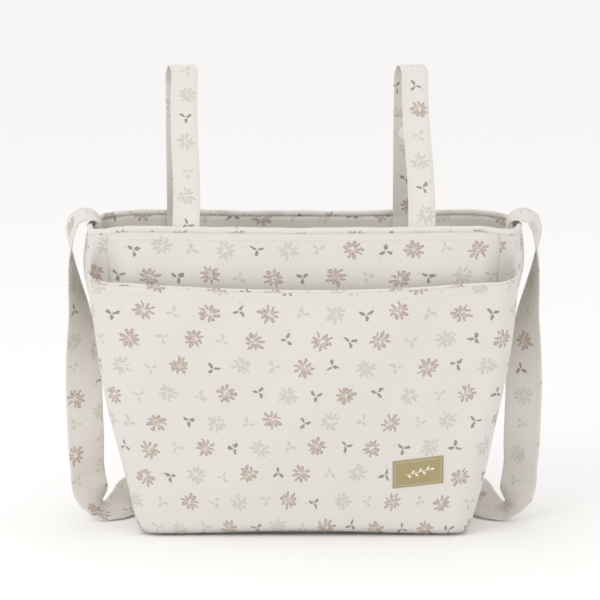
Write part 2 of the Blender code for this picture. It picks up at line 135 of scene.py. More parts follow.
class BagSizes(PropertyGroup):
    """Sizes of the cloth pieces."""

    panel_thickness: length_value("Panel thickness", "Outer cloth with its padding", PANEL_WALL, 0.0005)
    lining_thickness: length_value("Lining thickness", "Printed cloth inside the bag", 0.0012, 0.0004)
    pocket_thickness: length_value("Pocket thickness", "Front pocket's cloth", 0.0018, 0.0005)
    layer_gap: length_value("Layer gap", "Air between two layers of cloth", 0.0008, 0.0001)
    belly: length_value("Belly", "How far the front and back bulge", 0.0060, 0.0)
    pocket_bow: length_value("Pocket bow", "How far the pocket's mouth stands off the front", 0.0165, 0.0)
    pocket_sag: length_value("Pocket sag", "How far the pocket's mouth hangs in the middle", 0.0175, 0.0)
    strap_thickness: length_value("Strap thickness", "Folded cloth of every strap", 0.0021, 0.0005)
    shoulder_width: length_value("Shoulder strap width", "Width of the long strap", 0.0360, 0.01)
    loop_width: length_value("Loop width", "Width of the pram loops", 0.0260, 0.01)
    stitch_pitch: length_value("Stitch pitch", "Length of one stitch with its gap", 0.0034, 0.001)
    softness: length_value("Softness", "Height of the cloth's gentle waves", 0.0011, 0.0)
    print_cell: length_value("Print spacing", "Distance between two printed motifs", 0.0285, 0.005)


class BagColours(PropertyGroup):
    """Colours of cloth, print and trims, as linear values."""

    cloth: colour_value("Cloth", "Warm ivory ground", (0.705, 0.674, 0.638))
    flower_dark: colour_value("Flower", "Dusty rose taupe of the strong flowers", (0.335, 0.268, 0.222))
    flower_light: colour_value("Flower heart", "Pale rose between the petals' lines", (0.600, 0.490, 0.430))
    pale: colour_value("Pale motif", "Faded olive beige of the quiet motifs", (0.545, 0.518, 0.450))
    leaf: colour_value("Leaf", "Grey taupe of the leaves", (0.290, 0.245, 0.220))
    thread: colour_value("Thread", "Sewing thread", (0.740, 0.700, 0.640))
    patch: colour_value("Patch", "Olive khaki of the woven patch", (0.385, 0.318, 0.165))
    patch_motif: colour_value("Patch motif", "Pale thread of the patch's sprig", (0.800, 0.760, 0.640))
    tag: colour_value("Tag", "Grey ribbon in the side seam", (0.230, 0.230, 0.225))
    snap: colour_value("Snap cap", "White caps of the press studs", (0.830, 0.820, 0.790))
    metal: colour_value("Snap metal", "Bare metal of socket and stud", (0.560, 0.560, 0.550))


def sizes():
    return bpy.context.scene.diaper_bag_sizes


def colours():
    return bpy.context.scene.diaper_bag_colours


# ---- small numpy helpers -------------------------------------------------------------------
def ease(x, start, end):
    """Smooth step: 0 before start, 1 after end, 3t^2 - 2t^3 between."""
    t = np.clip((x - start) / (end - start), 0.0, 1.0)
    return t * t * (3.0 - 2.0 * t)


def bump(x, centre, reach):
    """Bell curve: exp of minus the squared distance from the centre over the reach."""
    return np.exp(-((x - centre) / reach) ** 2)


def unit(vectors):
    return vectors / np.maximum(np.linalg.norm(vectors, axis=-1, keepdims=True), 1e-12)


def arc_length(points):
    """Running length along a row of points, starting at 0."""
    steps = np.linalg.norm(np.diff(points, axis=0), axis=1)
    return np.concatenate([[0.0], np.cumsum(steps)])


def smooth_line(stations, samples):
    """Catmull-Rom curve: each span is the cubic through its ends, with the slopes of the
    neighbouring stations; samples are evenly spaced in the station number."""
    stations = np.asarray(stations, float)
    padded = np.vstack([2 * stations[0] - stations[1], stations, 2 * stations[-1] - stations[-2]])
    place = np.linspace(0, len(stations) - 1, samples)
    index = np.minimum(place.astype(int), len(stations) - 2)
    t = (place - index)[:, None]
    a, b, c, d = (padded[index + k] for k in range(4))
    return 0.5 * (2 * b + (c - a) * t + (2 * a - 5 * b + 4 * c - d) * t ** 2
                  + (3 * b - a - 3 * c + d) * t ** 3)


# ---- meshes --------------------------------------------------------------------------------
def grid_shape(points, uv, wrap=False, caps=False, slot=0):
    """Quads between the neighbours of a grid; wrap joins the last column to the first, and
    caps closes the first and last rows.  Returns vertices, faces, corner uvs and slot."""
    rows, columns = points.shape[:2]
    spans = columns if wrap else columns - 1
    i, j = np.meshgrid(np.arange(rows - 1), np.arange(spans), indexing="ij")
    after = (j + 1) % columns
    quads = np.stack([i * columns + j, i * columns + after,
                      (i + 1) * columns + after, (i + 1) * columns + j], -1).reshape(-1, 4)
    wide = uv.shape[1]
    corners = np.stack([i * wide + j, i * wide + j + 1,
                        (i + 1) * wide + j + 1, (i + 1) * wide + j], -1).reshape(-1)
    faces = quads.tolist()
    corner_uv = [uv.reshape(-1, 2)[corners]]
    if caps:
        faces.append(list(range(columns))[::-1])
        corner_uv.append(uv[0, :columns][::-1])
        faces.append([(rows - 1) * columns + k for k in range(columns)])
        corner_uv.append(uv[-1, :columns])
    return points.reshape(-1, 3), faces, np.vstack(corner_uv), slot


def make_piece(name, shapes, finishes, thickness=0.0, closed=True, merge=False):
    """One object from several shapes; an open one gets its wall from a Solidify modifier.
    A shape's slot counts the finishes."""
    vertices, faces, uvs, slots = [], [], [], []
    start = 0
    for points, shape_faces, corner_uv, slot in shapes:
        vertices.append(points)
        faces.extend([[v + start for v in face] for face in shape_faces])
        uvs.append(corner_uv)
        slots.extend([slot] * len(shape_faces))
        start += len(points)
    mesh = bpy.data.meshes.new(name)
    mesh.from_pydata(np.vstack(vertices).tolist(), [], faces)
    layer = mesh.uv_layers.new(name="cloth")
    layer.data.foreach_set("uv", np.vstack(uvs).astype(np.float32).reshape(-1))
    mesh.polygons.foreach_set("material_index", np.array(slots, np.int32))
    mesh.polygons.foreach_set("use_smooth", np.ones(len(faces), bool))
    for finish in finishes:
        mesh.materials.append(material(finish))
    if merge or closed:
        work = bmesh.new()
        work.from_mesh(mesh)
        if merge:
            bmesh.ops.remove_doubles(work, verts=work.verts, dist=1e-6)
        if closed:
            bmesh.ops.recalc_face_normals(work, faces=work.faces)
        work.to_mesh(mesh)
        work.free()
    mesh.set_sharp_from_angle(angle=np.radians(50))
    obj = bpy.data.objects.new(name, mesh)
    bpy.context.scene.collection.objects.link(obj)
    if thickness:
        wall = obj.modifiers.new("Wall", "SOLIDIFY")
        wall.thickness = thickness
        wall.offset = -1.0
        wall.use_even_offset = True
    return obj


def place_piece(obj, body, nodes):
    """Hang a finished piece on its body and hide the imported nodes that it stands for."""
    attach(obj, body)
    settle(nodes)


def settle(nodes):
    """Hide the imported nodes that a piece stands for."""
    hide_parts(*nodes)


def stitch_shape(line, out, pitch, radius=0.00032):
    """Row of stitches in the second finish: each is a spindle of two rings of six points and
    two tips, lying along the line, a little proud of the cloth on the side that out points to."""
    run = arc_length(line)
    middles = np.arange(pitch / 2, run[-1] - pitch / 2, pitch)
    half = 0.36 * pitch
    offsets = np.array([-1.0, -0.6, 0.6, 1.0]) * half
    places = middles[:, None] + offsets[None, :]

    def at(values):
        return np.stack([np.interp(places, run, values[:, k]) for k in range(3)], -1)

    centre = at(line)
    lift = unit(at(out))
    tangent = unit(at(np.gradient(line, axis=0)))
    side = np.cross(tangent, lift)
    angle = np.arange(6) * np.pi / 3
    rings = (centre[:, 1:3, None, :]
             + radius * (np.cos(angle)[None, None, :, None] * lift[:, 1:3, None, :]
                         + np.sin(angle)[None, None, :, None] * side[:, 1:3, None, :])
             + 0.3 * radius * lift[:, 1:3, None, :])
    tips = centre[:, [0, 3], :] - 0.4 * radius * lift[:, [0, 3], :]
    points = np.concatenate([rings.reshape(-1, 12, 3), tips], axis=1)
    ring = np.arange(6)
    after = (ring + 1) % 6
    belt = np.stack([ring, after, after + 6, ring + 6], -1)
    first = np.stack([np.full(6, 12), after, ring], -1)
    last = np.stack([np.full(6, 13), ring + 6, after + 6], -1)
    base = (np.arange(len(middles)) * 14)[:, None, None]
    faces = (belt[None] + base).reshape(-1, 4).tolist()
    faces += (first[None] + base).reshape(-1, 3).tolist()
    faces += (last[None] + base).reshape(-1, 3).tolist()
    corners = sum(len(face) for face in faces)
    return points.reshape(-1, 3), faces, np.zeros((corners, 2)), 1


def squared(centre, across):
    """Unit tangent of a line, and its width direction less the part along the tangent."""
    tangent = unit(np.gradient(centre, axis=0))
    return tangent, unit(across - tangent * np.sum(across * tangent, axis=1, keepdims=True))


def ribbon_shapes(centre, across, width, start):
    """Flat strap with two rows of stitches.  The section runs once round: half its thickness
    is t/2 times the root of 1 - a^8 over the share a of the half width, less a shallow groove
    where the stitches pull it in."""
    thickness, pitch = sizes().strap_thickness, sizes().stitch_pitch
    tangent, across = squared(centre, across)
    out = np.cross(tangent, across)
    turn = np.linspace(-np.pi / 2, np.pi / 2, 15)
    a = np.sin(turn)
    half = thickness / 2 * (np.sqrt(1 - np.minimum(np.abs(a), 0.9995) ** 8)
                            - 0.25 * bump(np.abs(a), 0.80, 0.06))
    a_round = np.concatenate([a, a[::-1]])
    h_round = np.concatenate([half, -half])
    points = (centre[:, None, :] + across[:, None, :] * (a_round * width / 2)[None, :, None]
              + out[:, None, :] * h_round[None, :, None])
    run = arc_length(centre) + start
    v_round = np.concatenate([a, a[::-1], a[:1]]) * width / 2
    v_round[15:30] += 0.31
    uv = np.stack(np.broadcast_arrays(run[:, None], v_round[None, :]), -1)
    shapes = [grid_shape(points, uv, wrap=True, caps=True)]
    for side in (-0.80, 0.80):
        for face in (1.0, -1.0):
            line = (centre + across * side * width / 2
                    + out * face * thickness / 2 * 0.76)
            shapes.append(stitch_shape(line, out * face, pitch))
    return shapes


def make_strap(name, centre, across, width, nodes, start=0.0):
    """Ribbon along a centre line as one finished piece, which still has to get its body."""
    obj = make_piece(name, ribbon_shapes(centre, across, width, start), STRAP_FINISH)
    settle(nodes)
    return obj


# ---- shape of the bag ----------------------------------------------------------------------
def half_width(z):
    """Half width: from the floor's to the mouth's along a quarter sine."""
    share = np.clip(z / WALL_TOP, 0.0, 1.0)
    return BASE_HALF + (TOP_HALF - BASE_HALF) * np.sin(np.pi / 2 * share)


def soft_waves(x, z):
    """Gentle waves of the cloth: five slanted sines whose sizes fall with their pitch."""
    waves = np.zeros(np.broadcast(x, z).shape)
    for size, kx, kz, phase in ((1.0, 11.0, 6.0, 0.4), (0.7, -17.0, 13.0, 1.7),
                                (0.5, 26.0, 9.0, 2.9), (0.35, -31.0, 27.0, 4.2),
                                (0.25, 44.0, -21.0, 5.3)):
        waves = waves + size * np.sin(kx * x * 2 + kz * z * 2 + phase)
    return sizes().softness * waves * ease(z, 0.0, 0.06)


def rim_drop(x):
    """How far the mouth lies below level: a little in the middle, more at the corners."""
    middle = MIDDLE_DROP * np.cos(np.pi * np.clip(x / TOP_HALF, -1, 1) / 2) ** 2
    corner = CORNER_DROP * ease(np.abs(x), 0.80 * TOP_HALF, TOP_HALF)
    return middle + corner


def floor_lift(x):
    """How far the bottom edge is off the floor in the middle of the front and back."""
    return EDGE_LIFT * np.cos(np.pi * np.clip(x / BASE_HALF, -1, 1) / 2) ** 2


def settle_heights(points):
    """Drop the mouth and lift the bottom edge, each fading out towards the other."""
    x, z = points[..., 0], points[..., 2]
    share = np.clip(z / WALL_TOP, 0.0, 1.0)
    points = points.copy()
    points[..., 2] = z - rim_drop(x) * share ** 4 + floor_lift(x) * (1 - share) ** 6
    return points


def outline(t, z, inset, dent=1.0):
    """Point of the wall.  t counts sides: 0 to 1 the front, 1 to 2 the right gusset with its two
    corners, 2 to 3 the back, 3 to 4 the left gusset.  Straight sides joined by quarter circles;
    the bottom edge is rolled in by another quarter circle, the front and back bulge by the
    product of a squared sine across and a sine up, above the pocket each front corner is dented
    inwards by a bell curve, and another one swells each gusset below the strap."""
    t, z = np.broadcast_arrays(np.asarray(t, float) % 4.0, np.asarray(z, float))
    under = np.clip((BOTTOM_ROLL - z) / BOTTOM_ROLL, 0.0, 1.0)
    inset = inset + BOTTOM_ROLL * 0.75 * (1 - np.sqrt(1 - under ** 2))
    width = half_width(z)
    side = np.floor(t).astype(int)
    f = t - side
    straight = width - CORNER
    radius = CORNER - inset
    share = CORNER_SHARE
    angle = np.pi / 2 * np.where(f < share, f / share, (1 - f) / share)
    at_corner = (f < share) | (f > 1 - share)
    flat = (HALF_DEPTH - CORNER) * (2 * (f - share) / (1 - 2 * share) - 1)
    corner_x = straight + radius * np.sin(angle)
    corner_y = (HALF_DEPTH - CORNER + radius * np.cos(angle)) * np.where(f < share, -1, 1)
    gusset_x = np.where(at_corner, corner_x, width - inset)
    gusset_y = np.where(at_corner, corner_y, flat)
    front_x = straight * (2 * f - 1)
    up = np.sin(np.pi * np.clip(z / WALL_TOP, 0, 1))
    bulge = sizes().belly * np.sin(np.pi * np.clip(f, 0, 1)) ** 2 * up
    front_y = -(HALF_DEPTH - inset + bulge)
    is_front = side % 2 == 0
    x = np.where(is_front, front_x, gusset_x)
    y = np.where(is_front, front_y, gusset_y)
    turn = np.where(side >= 2, -1.0, 1.0)
    x, y = x * turn, y * turn
    facing = np.clip(-y / HALF_DEPTH, 0, 1) ** 3
    y = y + dent * DENT_DEPTH * facing * bump(np.abs(x), TOP_HALF - 0.0105, 0.0150) * bump(
        z, DENT_HEIGHT, 0.030)
    x = x + np.sign(x) * BULGE_DEPTH * bump(y, 0.0, 0.045) * bump(z, BULGE_HEIGHT, 0.050) * (
        np.abs(x) > 0.9 * width)
    y = y + soft_waves(x, z) * np.abs(y / HALF_DEPTH) ** 3
    x = x + soft_waves(y * 1.7 + turn, z) * 0.7 * np.abs(x / width) ** 8
    return np.stack([x, y, z], -1)


def wall_grid(t0, t1, columns, rows, inset, top=WALL_TOP, dent=1.0):
    """Grid of wall points with its uv: length round the bag by height, in metres."""
    t = np.linspace(t0, t1, columns)[None, :]
    z = (WALL_BASE + (top - WALL_BASE) * np.linspace(0, 1, rows) ** 0.85)[:, None]
    points = outline(t, z, inset, dent)
    middle = points[rows // 2]
    run = arc_length(middle)
    uv = np.stack(np.broadcast_arrays((run - run[-1] / 2)[None, :], z), -1)
    return settle_heights(points), uv


def pocket_share(x, z):
    """Share t along the front for a place x, clear of the corners."""
    return (x / (half_width(z) - CORNER) + 1) / 2


def pocket_face(t, z, lift=0.0):
    """Outer face of the front pocket: the undented wall, moved out by the cloth and by a bow
    that grows with the 1.6th power of the height and fades at both side seams."""
    s = sizes()
    points = outline(t, z, -(s.layer_gap + s.pocket_thickness + lift), dent=0.0)
    height = np.clip((z - WALL_BASE) / (POCKET_TOP_SIDE - WALL_BASE), 0, 1) ** 1.6
    reach = np.clip(1 - (np.abs(points[..., 0]) / (half_width(z) + 0.003)) ** 2, 0, 1)
    ripple = 0.0012 * np.sin(34.0 * points[..., 0] + 0.8) * height
    points[..., 1] -= (s.pocket_bow * reach ** 0.55 + ripple * reach) * height
    return points


def pocket_mouth(t):
    """Height of the pocket's mouth: side height less the sag, flat over the middle."""
    across = np.clip((t + 0.25) / 1.5, 0, 1)
    return POCKET_TOP_SIDE - sizes().pocket_sag * np.sin(np.pi * across) ** 0.62


# ---- materials -----------------------------------------------------------------------------
class Graph:
    """Shader nodes written as short expressions."""

    def __init__(self, name):
        self.material = bpy.data.materials.new(name)
        self.material.use_nodes = True
        self.tree = self.material.node_tree
        self.shader = self.tree.nodes["Principled BSDF"]

    def feed(self, socket, value):
        """Link another socket into this one, or set its value."""
        if isinstance(value, bpy.types.NodeSocket):
            self.tree.links.new(value, socket)
        else:
            socket.default_value = value

    def node(self, kind, inputs=(), **settings):
        """New node; its inputs are given in order, and None leaves one alone."""
        made = self.tree.nodes.new(kind)
        for key, value in settings.items():
            setattr(made, key, value)
        for socket, value in zip(made.inputs, inputs):
            if value is not None:
                self.feed(socket, value)
        return made

    def math(self, operation, *values, clamp=False):
        return self.node("ShaderNodeMath", values, operation=operation, use_clamp=clamp).outputs[0]

    def add(self, a, b):
        return self.math("ADD", a, b)

    def sub(self, a, b):
        return self.math("SUBTRACT", a, b)

    def mul(self, a, b, clamp=False):
        return self.math("MULTIPLY", a, b, clamp=clamp)

    def div(self, a, b):
        return self.math("DIVIDE", a, b)

    def squares(self, a, b):
        return self.add(self.mul(a, a), self.mul(b, b))

    def spread(self, value, size):
        """A number from 0 to 1 less a half, times the size."""
        return self.mul(self.sub(value, 0.5), size)

    def vector(self, operation, *values):
        return self.node("ShaderNodeVectorMath", values, operation=operation).outputs[0]

    def join(self, x, y, z):
        return self.node("ShaderNodeCombineXYZ", (x, y, z)).outputs[0]

    def split(self, vector):
        return self.node("ShaderNodeSeparateXYZ", (vector,)).outputs[:2]

    def noise(self, vector, scale, detail=2.0):
        return self.node("ShaderNodeTexNoise", (vector, None, scale, detail, 0.5)).outputs[0]

    def chance(self, vector):
        """Three random numbers for a cell, as a colour."""
        made = self.node("ShaderNodeTexWhiteNoise", (vector,), noise_dimensions="3D")
        return self.node("ShaderNodeSeparateColor", (made.outputs["Color"],)).outputs

    def mix(self, share, a, b):
        made = self.node("ShaderNodeMix", data_type="RGBA")
        for index, value in ((0, share), (6, a), (7, b)):
            self.feed(made.inputs[index], value)
        return made.outputs[2]

    def step(self, value, start, end):
        """Smooth step from 0 at start to 1 at end."""
        made = self.node("ShaderNodeMapRange", (value, start, end, 0.0, 1.0),
                         interpolation_type="SMOOTHSTEP")
        return made.outputs[0]

    def finish(self, colour, height, strength, distance, roughness, sheen=0.0):
        bumped = self.node("ShaderNodeBump", (strength, distance, None, height))
        self.tree.links.new(colour, self.shader.inputs["Base Color"])
        self.tree.links.new(bumped.outputs[0], self.shader.inputs["Normal"])
        self.shader.inputs["Roughness"].default_value = roughness
        self.shader.inputs["Sheen Weight"].default_value = sheen
        return self.material


def rgba(colour, share=1.0):
    return (colour[0] * share, colour[1] * share, colour[2] * share, 1.0)


def leaf_mask(g, x, y, angle, reach, length, width):
    """1 inside one leaf: an ellipse whose middle lies at a distance and angle from the motif."""
    c, s = float(np.cos(angle)), float(np.sin(angle))
    along = g.add(g.mul(x, c), g.mul(y, s))
    beside = g.sub(g.mul(y, c), g.mul(x, s))
    p = g.div(g.sub(along, reach), length)
    q = g.div(beside, width)
    far = g.squares(p, q)
    return g.step(far, 1.25, 0.75)


def petal_ring(g, angle, radius, count, reach, length, width, chance):
    """Ring of petals: the turn is cut into equal sectors, each with one ellipse lying along its
    middle, nearer or farther and longer or shorter at random.  Returns 1 inside a petal, and
    the ellipse's own squared distance."""
    around = g.mul(angle, float(count / (2 * np.pi)))
    sector = g.math("FLOOR", around)
    beside = g.sub(g.sub(around, sector), 0.5)
    beside = g.mul(g.mul(beside, radius), float(2 * np.pi / count))
    vary = g.chance(g.join(sector, chance, 0.7))
    beside = g.add(beside, g.spread(vary[2], 0.045))
    place = g.add(g.mul(vary[0], 0.085), reach - 0.050)
    long = g.add(g.mul(vary[1], 0.055), length - 0.035)
    wide = g.add(g.mul(vary[2], 0.028), width - 0.010)
    p = g.div(g.sub(radius, place), long)
    q = g.div(beside, wide)
    far = g.squares(p, q)
    return g.step(far, 1.15, 0.80), far


def largest(g, masks):
    result = masks[0]
    for mask in masks[1:]:
        result = g.math("MAXIMUM", result, mask)
    return result


def weave_height(g, uv, thread):
    """Plain weave: the product of a sine along and a sine across, at the thread's pitch."""
    x, y = g.split(uv)
    turn = float(2 * np.pi / thread)
    warp = g.math("SINE", g.mul(x, turn))
    weft = g.math("SINE", g.mul(y, turn))
    return g.mul(warp, weft)


def printed_cloth(name, seed=0.0):
    """Ivory cotton with small flowers, pale flowers and sprigs, one motif to a cell of a
    staggered grid; kinds follow each other along the rows, each turned at random."""
    c = colours()
    g = Graph(name)
    uv = g.node("ShaderNodeUVMap", uv_map="cloth").outputs[0]
    moved = g.vector("ADD", uv, (seed, seed * 0.37, 0.0))
    wobble = g.noise(moved, 900.0, 1.0)
    drift = g.spread(wobble, 0.0016)
    x, y = g.split(moved)
    x = g.add(x, drift)
    y = g.sub(y, drift)
    cell = sizes().print_cell
    v = g.div(y, cell * 0.94)
    row = g.math("FLOOR", v)
    u = g.add(g.div(x, cell), g.mul(row, 0.5))
    column = g.math("FLOOR", u)
    chance = g.chance(g.join(column, row, 3.1 + seed))
    local_x = g.sub(g.sub(u, column), 0.5)
    local_y = g.sub(g.sub(v, row), 0.5)
    local_x = g.sub(local_x, g.spread(chance[1], 0.16))
    local_y = g.sub(local_y, g.spread(chance[2], 0.16))
    turn = g.mul(chance[0], float(2 * np.pi))
    cosine, sine = g.math("COSINE", turn), g.math("SINE", turn)
    px = g.sub(g.mul(local_x, cosine), g.mul(local_y, sine))
    py = g.add(g.mul(local_x, sine), g.mul(local_y, cosine))
    px = g.add(px, g.spread(g.noise(moved, 150.0), 0.20))
    far_place = g.vector("ADD", moved, (3.1, 1.7, 0.0))
    py = g.add(py, g.spread(g.noise(far_place, 150.0), 0.20))
    other = g.chance(g.join(column, row, 8.7 + seed))
    swap = g.mul(g.math("GREATER_THAN", other[0], 0.82), 2.0)
    order = g.add(g.add(column, row), swap)
    kind = g.math("FLOORED_MODULO", order, 4.0)

    radius = g.math("SQRT", g.squares(px, py))
    angle = g.math("ARCTAN2", py, px)
    outer, outer_far = petal_ring(g, angle, radius, 9.0, 0.240, 0.115, 0.050, other[1])
    inner, inner_far = petal_ring(g, angle, radius, 5.0, 0.130, 0.085, 0.052, other[2])
    flower = g.math("MAXIMUM", outer, inner)
    blush = g.mix(g.step(inner_far, 0.9, 0.2), rgba(c.flower_dark), rgba(c.flower_light))
    shade = g.mix(g.step(outer_far, 0.75, 0.10), rgba(c.flower_dark), rgba(c.flower_light, 0.86))
    flower_colour = g.mix(inner, shade, blush)
    leaves = ((0.35, 0.130, 0.110, 0.050), (2.55, 0.130, 0.105, 0.055),
              (4.45, 0.140, 0.110, 0.050))
    sprig = largest(g, [leaf_mask(g, px, py, *leaf) for leaf in leaves])
    bud = leaf_mask(g, px, py, 0.62, 0.320, 0.055, 0.042)

    def is_kind(number):
        return g.math("COMPARE", kind, float(number), 0.3)

    ink = g.add(0.70, g.mul(g.noise(moved, 1100.0, 2.0), 0.50))
    base = g.mix(g.noise(uv, 9.0, 3.0), rgba(c.cloth, 0.985), rgba(c.cloth, 1.015))
    strong = g.mul(is_kind(0), flower)
    colour = g.mix(g.mul(strong, ink, clamp=True), base, flower_colour)
    small = g.mul(is_kind(1), sprig)
    colour = g.mix(g.mul(small, ink, clamp=True), colour, rgba(c.leaf))
    colour = g.mix(g.mul(g.mul(is_kind(1), bud), 0.45), colour,
                   rgba(c.flower_light))
    quiet = g.mul(is_kind(2), flower)
    quiet = g.math("MAXIMUM", quiet, g.mul(is_kind(3), sprig))
    colour = g.mix(g.mul(g.mul(quiet, ink), 0.78), colour,
                   rgba(c.pale))
    threads = weave_height(g, uv, 0.0011)
    height = g.add(g.mul(threads, 0.5), g.noise(uv, 1700.0, 2.0))
    return g.finish(colour, height, 0.30, 0.00022, 0.92, sheen=0.12)


def plain_cloth(name, colour, thread):
    """Plain woven or twisted thread in one colour, with a slight mottle."""
    g = Graph(name)
    uv = g.node("ShaderNodeUVMap", uv_map="cloth").outputs[0]
    mottle = g.mix(g.noise(uv, 420.0, 3.0), rgba(colour, 0.93), rgba(colour, 1.06))
    threads = weave_height(g, uv, thread)
    height = g.add(g.mul(threads, 0.6), g.noise(uv, 1900.0, 2.0))
    return g.finish(mottle, height, 0.5, 0.0002, 0.85, sheen=0.1)


def moulded(name, colour, roughness, metallic=0.0):
    """Moulded cap or pressed metal: one colour with a fine grain on Object coordinates."""
    g = Graph(name)
    place = g.node("ShaderNodeTexCoord").outputs["Object"]
    grain = g.noise(place, 2600.0, 2.0)
    tint = g.mix(g.noise(place, 300.0, 2.0), rgba(colour, 0.97), rgba(colour, 1.02))
    g.shader.inputs["Metallic"].default_value = metallic
    return g.finish(tint, grain, 0.08, 0.0001, roughness)


def material(kind):
    """The named finish, made once."""
    found = bpy.data.materials.get(kind)
    if found:
        return found
    c = colours()
    if kind in PRINT_SEEDS:
        return printed_cloth(kind, PRINT_SEEDS[kind])
    woven = {"sewing_thread": (c.thread, 0.0008), "woven_patch": (c.patch, 0.0009),
             "patch_motif": (c.patch_motif, 0.0006), "grey_ribbon": (c.tag, 0.0007)}
    if kind in woven:
        return plain_cloth(kind, *woven[kind])
    hard = {"snap_cap_white": (c.snap, 0.38), "snap_steel": (c.metal, 0.30, 1.0),
            "stiffener_board": ((0.30, 0.28, 0.26), 0.7),
            "pale_floor": ((0.955, 0.955, 0.950), 0.75)}
    return moulded(kind, *hard[kind])


# ---- pieces --------------------------------------------------------------------------------
class BAG_OT_shell(Operator):
    """Sew the outer panels: front, back, two gussets and the bottom."""

    bl_idname = "diaper_bag.shell"
    bl_label = "Outer shell"

    def execute(self, context):
        s = sizes()
        plans = (("front_cloth", 0.0, 1.0, 130, "front_panel", "printed_cotton"),
                 ("right_gusset_cloth", 1.0, 2.0, 72, "right_gusset", "printed_cotton_side"),
                 ("back_cloth", 2.0, 3.0, 130, "back_panel", "printed_cotton_back"),
                 ("left_gusset_cloth", 3.0, 4.0 - 1e-9, 72, "left_gusset", "printed_cotton_side"))
        for name, start, end, columns, node, finish in plans:
            points, uv = wall_grid(start + 1e-9, end - 1e-9, columns, 90, 0.0)
            obj = make_piece(name, [grid_shape(points, uv)], (finish,),
                             thickness=s.panel_thickness, closed=False)
            place_piece(obj, "bag", (node,))
        self.bottom(s)
        board = frame["nodes"]["base_board"]
        board.data.materials.clear()
        board.data.materials.append(material("stiffener_board"))
        return {"FINISHED"}

    def bottom(self, s):
        """Bottom panel: rings of the outline shrunk towards the middle, almost flat, its edge
        turned up to meet the walls."""
        points, share, uv, flat = shrunk_rings(WALL_BASE, s.layer_gap)
        points[..., 2] = 0.0003 + 0.0034 * ease(share, 0.965, 1.0)
        points[..., 2] += floor_lift(points[..., 0]) * ease(share, 0.55, 1.0) * 0.9
        obj = make_piece("bottom_cloth", [grid_shape(points[::-1], uv[::-1], wrap=True)],
                         ("printed_cotton_back",), closed=False, merge=True)
        face_down(obj)
        wall = obj.modifiers.new("Wall", "SOLIDIFY")
        wall.thickness = s.panel_thickness * 0.8
        wall.offset = -1.0
        place_piece(obj, "bag", ("bottom_panel",))


def shrunk_rings(z, inset):
    """Rings of the outline at a height, shrunk evenly towards the middle: their points, share
    of the full size, uv and the outline's own width and depth."""
    t = np.linspace(0, 4, 160, endpoint=False)[None, :]
    share = np.linspace(1.0, 0.0, 22)[:, None]
    edge = outline(t, np.full_like(t, z), inset)[0, :, :2]
    points = np.empty((22, 160, 3))
    points[..., :2] = edge[None] * share[..., None]
    uv = np.concatenate([points[..., :2], points[:, :1, :2]], axis=1)
    return points, share, uv, (float(np.ptp(edge[:, 0])), float(np.ptp(edge[:, 1])))


def face_down(obj):
    """Turn the faces of a flat piece so that they point to the floor."""
    work = bmesh.new()
    work.from_mesh(obj.data)
    work.normal_update()
    if sum(f.normal.z * f.calc_area() for f in work.faces) > 0:
        bmesh.ops.reverse_faces(work, faces=work.faces)
    work.to_mesh(obj.data)
    work.free()


def tube_shape(line, radius, sides, slot=0, flatten=1.0, wrap_line=False):
    """Round or flattened cord: a circle of the radius, times flatten upwards, carried along
    the line at right angles to it."""
    if wrap_line:
        tangent = unit(np.roll(line, -1, axis=0) - np.roll(line, 1, axis=0))
    else:
        tangent = unit(np.gradient(line, axis=0))
    up = np.where(np.abs(tangent[:, 2:3]) > 0.9, np.array([[0.0, 1.0, 0.0]]),
                  np.array([[0.0, 0.0, 1.0]]))
    side = unit(np.cross(tangent, up))
    lift = np.cross(side, tangent)
    angle = np.linspace(0, 2 * np.pi, sides, endpoint=False)
    points = (line[:, None, :] + side[:, None, :] * (radius * np.cos(angle))[None, :, None]
              + lift[:, None, :] * (radius * flatten * np.sin(angle))[None, :, None])
    run = arc_length(line)
    if wrap_line:
        points = np.concatenate([points, points[:1]])
        run = np.append(run, run[-1] + np.linalg.norm(line[0] - line[-1]))
    around = np.linspace(0, 2 * np.pi * radius, sides + 1)
    uv = np.stack(np.broadcast_arrays(run[:, None], around[None, :]), -1)
    return grid_shape(points, uv, wrap=True, caps=not wrap_line, slot=slot)


class BAG_OT_lining(Operator):
    """Hang the printed lining inside: its wall and its floor."""

    bl_idname = "diaper_bag.lining"
    bl_label = "Lining"

    def execute(self, context):
        s = sizes()
        inset = s.panel_thickness + s.layer_gap
        points, uv = wall_grid(0.0, 4.0, 321, 60, inset, top=WALL_TOP - 0.0005)
        points[:, -1] = points[:, 0]
        obj = make_piece("lining_wall_cloth", [grid_shape(points, uv)],
                         ("printed_cotton_lining",), closed=False, merge=True,
                         thickness=s.lining_thickness)
        place_piece(obj, "bag", ("lining_wall",))
        top = high("lining_floor")[2]
        floor, share, uv, flat = shrunk_rings(top, inset + s.lining_thickness + 0.0006)
        waves = 0.0006 * np.sin(40 * floor[..., 0] + 1.0) * np.sin(55 * floor[..., 1])
        floor[..., 2] = top + 0.0012 * ease(share, 0.9, 1.0) + np.abs(waves)
        obj = make_piece("lining_floor_cloth", [grid_shape(floor, uv, wrap=True)],
                         ("printed_cotton_lining",), closed=False, merge=True,
                         thickness=s.lining_thickness)
        place_piece(obj, "bag", ("lining_floor",))
        return {"FINISHED"}


